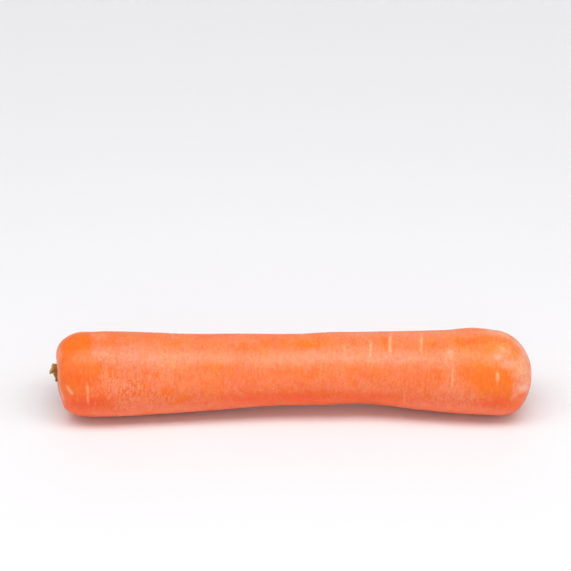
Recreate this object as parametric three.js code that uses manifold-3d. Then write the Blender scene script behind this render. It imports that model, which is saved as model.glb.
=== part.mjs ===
// A washed, topped carrot lying on its side: one blunt-ended taproot with the cut stubs of its leaf stalks standing in the hollow of the crown.
//
// Millimetres, +Z up. +X runs along the root from the crown to the blunt tip, and the root rests on z = 0.
// The root is a lathe form whose axis is gently bent: its middle is slimmer, swings towards +Y and clears the
// surface, so the root bears on two small worn flats, one under the crown half and one under the tip half.
// The origin is the middle of the underside of the whole carrot's box.

import * as THREE from "three";
import { mergeVertices } from "three/addons/utils/BufferGeometryUtils.js";
import Module from "manifold-3d";

// ---- driving dimensions -------------------------------------------------------------------------------------

const ROOT_LENGTH = 180.3; // crown shoulder to tip
const TIP_ROUNDING = 13.3; // length of the rounded tip cap
const STALK_GAP = 0.3; // clearance between each leaf-stalk stub and the crown's hollow
const SIDES = 40; // facets round the root
const BODY_STEP = 3.6; // ring spacing along the root

// Along the root: station from the crown end, section radius, sideways place of the axis, height of the underside.
// An underside below zero is where the flat is worn.
const BODY = [
  [0.0, 15.75, -1.3, 0.7],
  [12.7, 16.1, -0.7, 0.12],
  [20.0, 16.24, -0.15, -0.22],
  [30.0, 15.9, 0.45, -0.26],
  [38.0, 15.52, 0.75, 0.02],
  [46.9, 15.02, 0.95, 0.5],
  [54.5, 14.69, 1.15, 0.95],
  [65.9, 14.35, 1.55, 1.6],
  [81.1, 13.74, 2.15, 2.36],
  [92.5, 13.67, 2.2, 2.48],
  [103.9, 13.9, 2.4, 2.54],
  [115.3, 13.8, 2.85, 2.7],
  [126.6, 14.41, 2.6, 1.94],
  [134.2, 14.98, 2.1, 1.24],
  [142.2, 15.45, 1.75, 0.7],
  [149.4, 15.95, 1.45, 0.17],
  [158.0, 16.55, 1.2, -0.2],
  [167.0, 16.2, 0.42, -0.15],
  [180.3, 15.6, -0.95, 0.45],
];

// The crown end in half section, from the floor of its hollow over the rim to the shoulder: depth behind the rim, radius.
const CROWN = [
  [2.0, 0.0],
  [2.0, 1.6],
  [1.8, 2.8],
  [1.3, 3.8],
  [0.7, 4.6],
  [0.25, 5.3],
  [0.0, 6.1],
  [0.05, 7.1],
  [0.25, 8.2],
  [0.6, 9.4],
  [1.15, 10.6],
  [1.9, 11.8],
  [2.9, 12.9],
  [4.3, 13.9],
  [6.2, 14.8],
  [8.6, 15.5],
  [11.5, 15.85],
  [14.5, 15.98],
];

// The crown end leans: how far back it stands, against height up the lean (measured across the root, up and towards +Y).
const LEAN = [
  [-17, -0.1],
  [-13, 0.65],
  [-9, 1.55],
  [-5, 1.05],
  [0, 0.9],
  [5, 0.42],
  [8, -0.05],
  [11, -0.45],
  [17, -0.8],
];
const LEAN_TILT = THREE.MathUtils.degToRad(34);
const LEAN_REACH = 30; // the lean dies out this far along the root

// Low lobes that keep the sections from being true circles: count round the root, share of the radius, phase, phase per mm.
const LOBES = [
  [2, 0.008, -0.9, 0.016],
  [3, 0.006, 1.1, 0.034],
  [4, 0.0035, -0.6, -0.05],
  [7, 0.002, 2.0, 0.09],
];

// Cut leaf stalks: place in the crown's plane (y, z from its axis), half width along and across the stalk's oval,
// angle of the oval, how far the cut end stands before the rim's plane, lean of the stalk, slant of the cut.
const STALKS = {
  leaf_stalk_1: { at: [0.9, 2.25], half: [1.4, 1.1], turn: 0.9, proud: 2.0, lean: [-0.02, -0.12], slant: [-0.1, 0.4] },
  leaf_stalk_2: { at: [3.45, 1.45], half: [1.2, 0.75], turn: 2.7, proud: 1.6, lean: [0.05, 0.06], slant: [0.1, 0.1] },
  leaf_stalk_3: { at: [-2.05, 1.55], half: [1.1, 0.75], turn: 1.3, proud: 0.55, lean: [-0.1, 0.0], slant: [0.1, -0.3] },
  leaf_stalk_4: { at: [2.4, -0.5], half: [1.2, 0.8], turn: 0.25, proud: 0.9, lean: [0.04, -0.08], slant: [0.1, -0.15] },
  leaf_stalk_5: { at: [0.05, -0.45], half: [1.1, 0.7], turn: 1.5, proud: 0.55, lean: [0.02, -0.04], slant: [-0.2, -0.35] },
  leaf_stalk_6: { at: [-1.85, -0.82], half: [1.0, 0.58], turn: 2.75, proud: -0.05, lean: [-0.06, -0.1], slant: [0.1, -0.5] },
  leaf_stalk_7: { at: [-1.25, 3.85], half: [1.05, 0.65], turn: 0.35, proud: 0.95, lean: [-0.06, 0.1], slant: [0.2, -0.2] },
};
const STALK_SIDES = 14;
const STALK_STEPS = 6;

// ---- shape laws ---------------------------------------------------------------------------------------------

// Smooth curve through a table's column, with the slope at each row averaged from its two sides.
function through(table, column) {
  const x = table.map((row) => row[0]);
  const y = table.map((row) => row[column]);
  const last = x.length - 1;
  const slope = x.map((_, i) => {
    const before = i > 0 ? (y[i] - y[i - 1]) / (x[i] - x[i - 1]) : null;
    const after = i < last ? (y[i + 1] - y[i]) / (x[i + 1] - x[i]) : null;
    if (before === null) return after;
    if (after === null) return before;
    const h0 = x[i] - x[i - 1];
    const h1 = x[i + 1] - x[i];
    return (before * h1 + after * h0) / (h0 + h1);
  });
  return (at) => {
    const s = THREE.MathUtils.clamp(at, x[0], x[last]);
    let i = 0;
    while (i < last - 1 && s >= x[i + 1]) i++;
    const h = x[i + 1] - x[i];
    const t = (s - x[i]) / h;
    return (
      (2 * t ** 3 - 3 * t ** 2 + 1) * y[i] +
      (t ** 3 - 2 * t ** 2 + t) * h * slope[i] +
      (-2 * t ** 3 + 3 * t ** 2) * y[i + 1] +
      (t ** 3 - t ** 2) * h * slope[i + 1]
    );
  };
}

const bodyRadius = through(BODY, 1);
const axisY = through(BODY, 2);
const underside = through(BODY, 3);
const leanBack = through(LEAN, 1);

function lobes(s, angle) {
  return LOBES.reduce(
    (sum, [count, share, phase, drift]) =>
      sum + share * Math.cos(count * angle + phase + drift * s),
    1,
  );
}

function axisZ(s) {
  return underside(s) + bodyRadius(s) * lobes(s, -Math.PI / 2);
}

function lean(across, up, s) {
  const w = THREE.MathUtils.clamp(1 - s / LEAN_REACH, 0, 1);
  return (
    leanBack(across * Math.sin(LEAN_TILT) + up * Math.cos(LEAN_TILT)) *
    w * w * (3 - 2 * w)
  );
}

// A point of the bent, lobed form, from its station, distance from the axis and angle about the axis.
function onRoot(s, r, angle) {
  const across = r * lobes(s, angle) * Math.cos(angle);
  const up = r * lobes(s, angle) * Math.sin(angle);
  return new THREE.Vector3(
    s - ROOT_LENGTH / 2 + lean(across, up, s),
    axisY(s) + across,
    axisZ(s) + up,
  );
}

// ---- solids -------------------------------------------------------------------------------------------------

const wasm = await Module();
wasm.setup();

function toSolid(geometry) {
  const g = geometry.clone();
  g.deleteAttribute("normal");
  g.deleteAttribute("uv");
  const merged = mergeVertices(g, 1e-3);
  return new wasm.Manifold(
    new wasm.Mesh({
      numProp: 3,
      vertProperties: merged.attributes.position.array,
      triVerts: new Uint32Array(merged.index.array),
    }),
  );
}

function toGeometry(solid) {
  const mesh = solid.getMesh();
  const g = new THREE.BufferGeometry();
  g.setAttribute(
    "position",
    new THREE.BufferAttribute(new Float32Array(mesh.vertProperties), 3),
  );
  g.setIndex(new THREE.BufferAttribute(new Uint32Array(mesh.triVerts), 1));
  g.computeVertexNormals();
  return g;
}

function rootGeometry() {
  // Half section, as (radius, station): crown hollow, rim, shoulder, body, tip cap.
  const profile = CROWN.map(([s, r]) => new THREE.Vector2(r, s));
  const bodyFrom = CROWN[CROWN.length - 1][0];
  const bodyTo = ROOT_LENGTH - TIP_ROUNDING;
  const steps = Math.round((bodyTo - bodyFrom) / BODY_STEP);
  for (let i = 1; i <= steps; i++) {
    const s = bodyFrom + ((bodyTo - bodyFrom) * i) / steps;
    profile.push(new THREE.Vector2(bodyRadius(s), s));
  }
  for (const q of [0.14, 0.28, 0.42, 0.55, 0.67, 0.78, 0.88, 0.95, 1]) {
    const a = (q * Math.PI) / 2;
    const s = bodyTo + TIP_ROUNDING * Math.sin(a);
    profile.push(new THREE.Vector2(q === 1 ? 0 : bodyRadius(s) * Math.cos(a), s));
  }
  const g = new THREE.LatheGeometry(profile, SIDES);
  const p = g.attributes.position;
  for (let i = 0; i < p.count; i++) {
    const r = Math.hypot(p.getX(i), p.getZ(i));
    const v = onRoot(p.getY(i), r, Math.atan2(p.getX(i), p.getZ(i)));
    p.setXYZ(i, v.x, v.y, v.z);
  }
  return g;
}

// The root with its two worn flats: what would reach below the surface is cut off level with it.
function restingRoot() {
  const slab = new THREE.BoxGeometry(2 * ROOT_LENGTH, 4 * bodyRadius(0), 10);
  slab.translate(0, 0, -5);
  return toGeometry(toSolid(rootGeometry()).subtract(toSolid(slab)));
}

// A short oval stub, flared at its foot, which follows the floor of the hollow, and cut on a slant at its end.
function stalkGeometry({ at, half, turn, proud, lean: tip, slant }) {
  const g = new THREE.CylinderGeometry(1, 1, 1, STALK_SIDES, STALK_STEPS);
  const p = g.attributes.position;
  const floor = through(
    CROWN.slice(0, 7).map(([s, r]) => [r, s]),
    1,
  );
  for (let i = 0; i < p.count; i++) {
    const t = p.getY(i) + 0.5; // 0 at the foot, 1 at the cut end
    const flare = 1 + 0.16 * (1 - t) ** 3 - 0.06 * Math.sin(Math.PI * t);
    const a = p.getX(i) * half[0] * flare;
    const b = p.getZ(i) * half[1] * flare;
    const c = Math.cos(turn);
    const s = Math.sin(turn);
    let y = at[0] + a * c - b * s;
    let z = at[1] + a * s + b * c;
    const foot =
      floor(Math.hypot(y, z)) + lean(y, z, 2) - STALK_GAP - 0.12;
    const cut = -proud + slant[0] * (y - at[0]) + slant[1] * (z - at[1]);
    const x = foot + (cut - foot) * t;
    y += tip[0] * (foot - x);
    z += tip[1] * (foot - x);
    p.setXYZ(i, x - ROOT_LENGTH / 2, axisY(0) + y, axisZ(0) + z);
  }
  return toGeometry(toSolid(g));
}

const flesh = new THREE.MeshStandardMaterial({
  name: "flesh",
  color: 0xf47b3c,
  roughness: 0.5,
  metalness: 0,
});
const stalk = new THREE.MeshStandardMaterial({
  name: "stalk",
  color: 0x96703a,
  roughness: 0.85,
  metalness: 0,
});

const carrot = new THREE.Group();
carrot.name = "carrot";

const root = new THREE.Mesh(restingRoot(), flesh);
root.name = "root";
carrot.add(root);

const crown = new THREE.Group(); // the tuft of cut stalks
crown.name = "crown_stalks";
for (const [name, spec] of Object.entries(STALKS)) {
  const mesh = new THREE.Mesh(stalkGeometry(spec), stalk);
  mesh.name = name;
  crown.add(mesh);
}
carrot.add(crown);

// Origin: the middle of the underside of the whole carrot's box.
const box = new THREE.Box3().setFromObject(carrot, true);
const middle = box.getCenter(new THREE.Vector3());
carrot.position.set(-middle.x, -middle.y, 0);
carrot.updateMatrixWorld(true);

export default carrot;
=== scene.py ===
"""Looks of a washed, topped carrot lying on its side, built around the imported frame.

The root's skin is its own fine mesh, made from the same shape law as the CAD root, with the skin's relief in its
geometry: lenticels, creases, the crown's scar rings and the broken tail. The leaf-stalk stubs are ribbed, split and
frayed meshes where the CAD stubs stand. Lengths below are millimetres until a mesh is written in metres.
"""

import math

import bpy
import numpy as np
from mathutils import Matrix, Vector


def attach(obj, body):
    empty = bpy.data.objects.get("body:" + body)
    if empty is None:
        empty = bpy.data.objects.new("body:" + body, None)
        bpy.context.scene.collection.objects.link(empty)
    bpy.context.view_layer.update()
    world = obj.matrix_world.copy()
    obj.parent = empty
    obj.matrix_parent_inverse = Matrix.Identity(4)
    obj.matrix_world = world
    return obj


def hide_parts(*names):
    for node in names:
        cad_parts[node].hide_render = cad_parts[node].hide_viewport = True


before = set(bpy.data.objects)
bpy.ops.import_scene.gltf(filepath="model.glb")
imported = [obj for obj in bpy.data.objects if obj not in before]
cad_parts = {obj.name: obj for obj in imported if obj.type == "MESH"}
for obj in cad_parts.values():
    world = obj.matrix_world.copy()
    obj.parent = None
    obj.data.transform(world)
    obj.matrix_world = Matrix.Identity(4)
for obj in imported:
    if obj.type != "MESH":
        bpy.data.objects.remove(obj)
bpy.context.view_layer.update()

# ---------------------------------------------------------------------------------------------------------------
# The root's shape law, as in the CAD part
# ---------------------------------------------------------------------------------------------------------------
LENGTH = 180.3
TIP_ROUNDING = 13.3
SHIFT = np.array([1.2495880, -0.5161324, 0.0])  # the CAD part's recentring

BODY = np.array(
    [
        # station, radius, sideways place of the axis, height of the underside
        (0.0, 15.75, -1.3, 0.7),
        (12.7, 16.1, -0.7, 0.12),
        (20.0, 16.24, -0.15, -0.22),
        (30.0, 15.9, 0.45, -0.26),
        (38.0, 15.52, 0.75, 0.02),
        (46.9, 15.02, 0.95, 0.5),
        (54.5, 14.69, 1.15, 0.95),
        (65.9, 14.35, 1.55, 1.6),
        (81.1, 13.74, 2.15, 2.36),
        (92.5, 13.67, 2.2, 2.48),
        (103.9, 13.9, 2.4, 2.54),
        (115.3, 13.8, 2.85, 2.7),
        (126.6, 14.41, 2.6, 1.94),
        (134.2, 14.98, 2.1, 1.24),
        (142.2, 15.45, 1.75, 0.7),
        (149.4, 15.95, 1.45, 0.17),
        (158.0, 16.55, 1.2, -0.2),
        (167.0, 16.2, 0.42, -0.15),
        (180.3, 15.6, -0.95, 0.45),
    ]
)
CROWN = np.array(
    [
        # depth behind the rim, radius
        (2.0, 0.0),
        (2.0, 1.6),
        (1.8, 2.8),
        (1.3, 3.8),
        (0.7, 4.6),
        (0.25, 5.3),
        (0.0, 6.1),
        (0.05, 7.1),
        (0.25, 8.2),
        (0.6, 9.4),
        (1.15, 10.6),
        (1.9, 11.8),
        (2.9, 12.9),
        (4.3, 13.9),
        (6.2, 14.8),
        (8.6, 15.5),
        (11.5, 15.85),
        (14.5, 15.98),
    ]
)
LEAN = np.array(
    [
        (-17, -0.1),
        (-13, 0.65),
        (-9, 1.55),
        (-5, 1.05),
        (0, 0.9),
        (5, 0.42),
        (8, -0.05),
        (11, -0.45),
        (17, -0.8),
    ]
)
LEAN_TILT = math.radians(34)
LEAN_REACH = 30.0
LOBES = [
    (2, 0.008, -0.9, 0.016),
    (3, 0.006, 1.1, 0.034),
    (4, 0.0035, -0.6, -0.05),
    (7, 0.002, 2.0, 0.09),
]
STALKS = {
    "leaf_stalk_1": dict(at=(0.9, 2.25), half=(1.4, 1.1), turn=0.9, proud=2.0, lean=(-0.02, -0.12), slant=(-0.1, 0.4)),
    "leaf_stalk_2": dict(at=(3.45, 1.45), half=(1.2, 0.75), turn=2.7, proud=1.6, lean=(0.05, 0.06), slant=(0.1, 0.1)),
    "leaf_stalk_3": dict(at=(-2.05, 1.55), half=(1.1, 0.75), turn=1.3, proud=0.55, lean=(-0.1, 0.0), slant=(0.1, -0.3)),
    "leaf_stalk_4": dict(at=(2.4, -0.5), half=(1.2, 0.8), turn=0.25, proud=0.9, lean=(0.04, -0.08), slant=(0.1, -0.15)),
    "leaf_stalk_5": dict(at=(0.05, -0.45), half=(1.1, 0.7), turn=1.5, proud=0.55, lean=(0.02, -0.04), slant=(-0.2, -0.35)),
    "leaf_stalk_6": dict(at=(-1.85, -0.82), half=(1.0, 0.58), turn=2.75, proud=-0.05, lean=(-0.06, -0.1), slant=(0.1, -0.5)),
    "leaf_stalk_7": dict(at=(-1.25, 3.85), half=(1.05, 0.65), turn=0.35, proud=0.95, lean=(-0.06, 0.1), slant=(0.2, -0.2)),
}


def through(x, y):
    """A smooth curve through a table, with each slope averaged from its two sides."""
    x = np.asarray(x, float)
    y = np.asarray(y, float)
    rise = np.diff(y) / np.diff(x)
    h = np.diff(x)
    slope = np.empty_like(y)
    slope[0], slope[-1] = rise[0], rise[-1]
    slope[1:-1] = (rise[:-1] * h[1:] + rise[1:] * h[:-1]) / (h[1:] + h[:-1])

    def at(s):
        s = np.clip(np.asarray(s, float), x[0], x[-1])
        i = np.clip(np.searchsorted(x, s, side="right") - 1, 0, len(x) - 2)
        w = x[i + 1] - x[i]
        t = (s - x[i]) / w
        return (
            (2 * t**3 - 3 * t**2 + 1) * y[i]
            + (t**3 - 2 * t**2 + t) * w * slope[i]
            + (-2 * t**3 + 3 * t**2) * y[i + 1]
            + (t**3 - t**2) * w * slope[i + 1]
        )

    return at


body_radius = through(BODY[:, 0], BODY[:, 1])
axis_y = through(BODY[:, 0], BODY[:, 2])
underside = through(BODY[:, 0], BODY[:, 3])
lean_back = through(LEAN[:, 0], LEAN[:, 1])


def lobes(s, angle):
    total = 1.0
    for count, share, phase, drift in LOBES:
        total = total + share * np.cos(count * angle + phase + drift * s)
    return total


def axis_z(s):
    return underside(s) + body_radius(s) * lobes(s, -math.pi / 2)


def lean(across, up, s):
    w = np.clip(1 - s / LEAN_REACH, 0, 1)
    u = across * math.sin(LEAN_TILT) + up * math.cos(LEAN_TILT)
    return lean_back(u) * w * w * (3 - 2 * w)


def on_root(s, r, angle):
    across = r * lobes(s, angle) * np.cos(angle)
    up = r * lobes(s, angle) * np.sin(angle)
    return np.stack(
        [s - LENGTH / 2 + lean(across, up, s), axis_y(s) + across, axis_z(s) + up], -1
    )


# ---------------------------------------------------------------------------------------------------------------
# Seeded noise
# ---------------------------------------------------------------------------------------------------------------
_rng = np.random.RandomState(7)
_GRAD = _rng.normal(size=(256, 3))
_GRAD /= np.linalg.norm(_GRAD, axis=1)[:, None]
_PERM = _rng.permutation(256)


def perlin(p, seed=0):
    p = np.asarray(p, float)
    shape = p.shape[:-1]
    p = p.reshape(-1, 3)
    cell = np.floor(p).astype(np.int64)
    f = p - cell
    w = f * f * f * (f * (f * 6 - 15) + 10)
    total = np.zeros(len(p))
    for dx in (0, 1):
        for dy in (0, 1):
            for dz in (0, 1):
                c = cell + (dx, dy, dz)
                h = _PERM[(c[:, 0] + seed * 31) & 255]
                h = _PERM[(h + c[:, 1]) & 255]
                h = _PERM[(h + c[:, 2]) & 255]
                g = _GRAD[h]
                d = ((f - (dx, dy, dz)) * g).sum(1)
                wx = w[:, 0] if dx else 1 - w[:, 0]
                wy = w[:, 1] if dy else 1 - w[:, 1]
                wz = w[:, 2] if dz else 1 - w[:, 2]
                total += d * wx * wy * wz
    return (total * 1.6).reshape(shape)


def turned(seed):
    """A rotation that takes the noise's lattice off the root's own directions."""
    m, _ = np.linalg.qr(np.random.RandomState(900 + seed).normal(size=(3, 3)))
    return m


def fbm(p, octaves=3, seed=0, gain=0.5):
    total, amp, norm = 0.0, 1.0, 0.0
    for k in range(octaves):
        total = total + amp * perlin(np.asarray(p) @ turned(seed + k) * 2.03**k, seed + k)
        norm += amp
        amp *= gain
    return total / norm


def smooth(x, lo, hi):
    t = np.clip((x - lo) / (hi - lo), 0, 1)
    return t * t * (3 - 2 * t)


def wrap(a):
    return (a + math.pi) % (2 * math.pi) - math.pi


# ---------------------------------------------------------------------------------------------------------------
# The camera, here so that marks on the side it faces can be given where they are seen in its frame of 571 pixels
# ---------------------------------------------------------------------------------------------------------------
PX = 0.37975  # millimetres in a pixel, at the root's axis
VIEW_TILT = math.radians(33)
DISTANCE = 1400.0
AHEAD = np.array([0, math.cos(VIEW_TILT), -math.sin(VIEW_TILT)])
ABOVE = np.array([0, math.sin(VIEW_TILT), math.cos(VIEW_TILT)])
MIDDLE = np.array([90.0 - LENGTH / 2, 1.0, 15.8]) + SHIFT
AIM = MIDDLE + ABOVE * (372.2 - 285.5) * PX - np.array([1.0, 0, 0]) * (293.5 - 285.5) * PX
EYE = AIM - AHEAD * DISTANCE

# ---------------------------------------------------------------------------------------------------------------
# The root's mesh
# ---------------------------------------------------------------------------------------------------------------
AROUND = 176


def ring_list():
    """(station, radius) of each ring, from the crown's centre over the rim to the tip."""
    chord = np.r_[0, np.cumsum(np.hypot(*np.diff(CROWN, axis=0).T))]
    depth, radius = through(chord, CROWN[:, 0]), through(chord, CROWN[:, 1])
    t = np.linspace(0, chord[-1], 70)[1:]
    # the crown's outline eases into the body's, with no ledge between them
    join = float(body_radius(CROWN[-1, 0])) - CROWN[-1, 1]
    rings = list(zip(depth(t), radius(t) + join * smooth(depth(t), 6.0, CROWN[-1, 0])))
    start, end = CROWN[-1, 0], LENGTH - TIP_ROUNDING
    for s in np.linspace(start, end, 413)[1:]:
        rings.append((s, float(body_radius(s))))
    for a in np.linspace(0, math.pi / 2, 68)[1:-1]:
        s = end + TIP_ROUNDING * math.sin(a)
        rings.append((s, float(body_radius(s)) * math.cos(a)))
    return np.array(rings)


RINGS = ring_list()
THETA = np.arange(AROUND) * 2 * math.pi / AROUND
S = np.repeat(RINGS[:, :1], AROUND, 1)
RAD = np.repeat(RINGS[:, 1:], AROUND, 1)
TH = np.repeat(THETA[None, :], len(RINGS), 0)
P0 = on_root(S, RAD, TH)
NRM = np.cross(
    np.gradient(P0, axis=0),
    np.roll(P0, -1, axis=1) - np.roll(P0, 1, axis=1),
)
NRM /= -np.linalg.norm(NRM, axis=2)[..., None]
if (NRM[300, 40] * (P0[300, 40] - P0[300].mean(0))).sum() < 0:
    NRM = -NRM

to_eye = EYE - (P0 + SHIFT)
away = -(to_eye @ AHEAD)
SEEN_X = 285.5 + DISTANCE / PX * (-to_eye[..., 0]) / away
SEEN_Y = 285.5 - DISTANCE / PX * (-(to_eye @ ABOVE)) / away
FACING = (NRM * to_eye).sum(-1) / np.linalg.norm(to_eye, axis=-1)
IN_VIEW = smooth(FACING, 0.0, 0.06)

# ends: distance from the axis on the crown's end and on the tip's cap, large elsewhere
first_body = int(np.argmax(RINGS[:, 1] > 15.4))
rho = np.full_like(RAD, 99.0)
rho[:first_body] = RAD[:first_body]
inside = rho < 20
tr = np.where(S > LENGTH - TIP_ROUNDING, RAD, 99.0)
tip_in = tr < 20

relief = np.zeros_like(S)  # mm, outwards
pale = np.zeros_like(S)  # lenticels and scratches: cream cork
dark = np.zeros_like(S)  # dark edges and pits
scar = np.zeros_like(S)  # brown cork of the crown
film_and_light = np.zeros_like(S)  # dried, salmon-coloured film of the washed skin, with painted highlight along the lamp's highlight and painted shade where it is thinned along the bottom edge
rubbed_and_sheen = np.zeros_like(S)  # rubbed, whitened skin, and painted highlights on the tip and along the outlines
redder_and_shade = np.zeros_like(S)  # redder flesh round the crown, and painted shade: redder where the skin faces down and along the bottom edge
amber = np.zeros_like(S)  # yellower flesh and film
dull = np.zeros_like(S)  # darker, greyer film

# Broad and middling unevenness of the skin
relief += 0.13 * fbm(P0 / 17.0, 2, 11) + 0.07 * fbm(P0 / 6.5, 2, 12)
relief += 0.024 * fbm(P0 * (0.85, 0.12, 0.12), 2, 13) * smooth(RAD, 3, 9)
relief += 0.012 * fbm(P0 * (0.7, 0.7, 0.7), 2, 14)

wob = fbm(P0 * (0.25, 0.35, 0.35), 2, 15)
warp_a = 0.62 * fbm(P0 * 0.33, 3, 51) + 0.38 * fbm(P0 * 0.9, 2, 52)
warp_b = 0.62 * fbm(P0 * 0.33, 3, 61) + 0.38 * fbm(P0 * 0.9, 2, 62)


def add_mark(m, side, depth, cream, edge, lip):
    """Sink a mark of strength m into the skin, with a raised lip and a pale or dark colour."""
    global relief, pale, dark
    relief = relief - depth * m + 0.3 * depth * lip
    pale = np.maximum(pale, cream * m)
    if edge:
        dark = np.maximum(dark, edge * side)


def lenticel(s0, th0, half, width, depth, cream, edge=0.0, tilt=0.0, bow=0.0):
    """A mark across the root at a station and an angle; lengths in millimetres."""
    arc = wrap(TH - th0) * np.maximum(RAD, 1.0)
    ds = S - (s0 + tilt * arc + bow * arc * arc / max(half, 0.1)) + 0.22 * wob
    run = np.clip(1 - (np.abs(arc) / half) ** 2.4, 0, 1) * (np.abs(arc) < half)
    m = np.exp(-((ds / width) ** 2)) * run
    lip = np.exp(-(((np.abs(ds) - width * 1.9) / (width * 0.8)) ** 2)) * run
    side = np.exp(-(((ds + width * 1.7) / (width * 0.75)) ** 2)) * run
    add_mark(m, side, depth, cream, edge, lip)


def stroke(points, wide, depth, cream, edge=0.0, ends=0.35, whiten_and_sheen=0.0, ink=0.0):
    """A mark on the side the camera faces, along a line of (x, y) in its frame; wide is the mark's width there."""
    pts = np.array(points, float)
    box = (
        (SEEN_X > pts[:, 0].min() - 4 * wide)
        & (SEEN_X < pts[:, 0].max() + 4 * wide)
        & (SEEN_Y > pts[:, 1].min() - 4 * wide)
        & (SEEN_Y < pts[:, 1].max() + 4 * wide)
        & (FACING > 0)
    )
    if not box.any():
        return
    x, y = SEEN_X[box], SEEN_Y[box]
    best = np.full(x.shape, 1e9)
    along = np.zeros(x.shape)
    sign = np.zeros(x.shape)
    seg = np.hypot(*np.diff(pts, axis=0).T)
    total = seg.sum()
    gone = 0.0
    for k in range(len(pts) - 1):
        d = (pts[k + 1] - pts[k]) / seg[k]
        rx, ry = x - pts[k, 0], y - pts[k, 1]
        t = np.clip(rx * d[0] + ry * d[1], 0, seg[k])
        ox, oy = rx - t * d[0], ry - t * d[1]
        dist = np.hypot(ox, oy)
        hit = dist < best
        best = np.where(hit, dist, best)
        along = np.where(hit, (gone + t) / total, along)
        sign = np.where(hit, np.sign(ox), sign)
        gone += seg[k]
    run = smooth(along, -0.02, ends) * smooth(-along, -1.02, -1 + ends) if ends else 1.0
    run = run * (0.82 + 0.5 * wob[box]).clip(0.35, 1)
    w = wide / 2
    m = np.exp(-((best / w) ** 2)) * run * IN_VIEW[box]
    lip = np.exp(-(((best - w * 2.0) / (w * 0.9)) ** 2)) * run * IN_VIEW[box]
    side = np.where(sign < 0, np.exp(-(((best - w * 1.9) / (w * 0.9)) ** 2)), 0) * run * IN_VIEW[box]
    full = [np.zeros_like(S) for _ in range(3)]
    for f, v in zip(full, (m, side, lip)):
        f[box] = v
    add_mark(full[0], full[1], depth, cream, edge, full[2])
    global rubbed_and_sheen, dark
    # whitening here is rubbed skin, and for some marks a painted highlight
    if whiten_and_sheen:
        rubbed_and_sheen = np.maximum(rubbed_and_sheen, whiten_and_sheen * full[0])
    if ink:
        dark = np.maximum(dark, ink * full[0])


def blot(x, y, rx, ry):
    """A ragged spot on the side the camera faces: 1 in its middle, fading outwards."""
    d = np.hypot(
        (SEEN_X - x + 2.6 * warp_a * min(rx, 9) / 3) / rx,
        (SEEN_Y - y + 2.6 * warp_b * min(ry, 9) / 3) / ry,
    )
    return np.exp(-(d**2) * 1.15) * IN_VIEW


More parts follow.
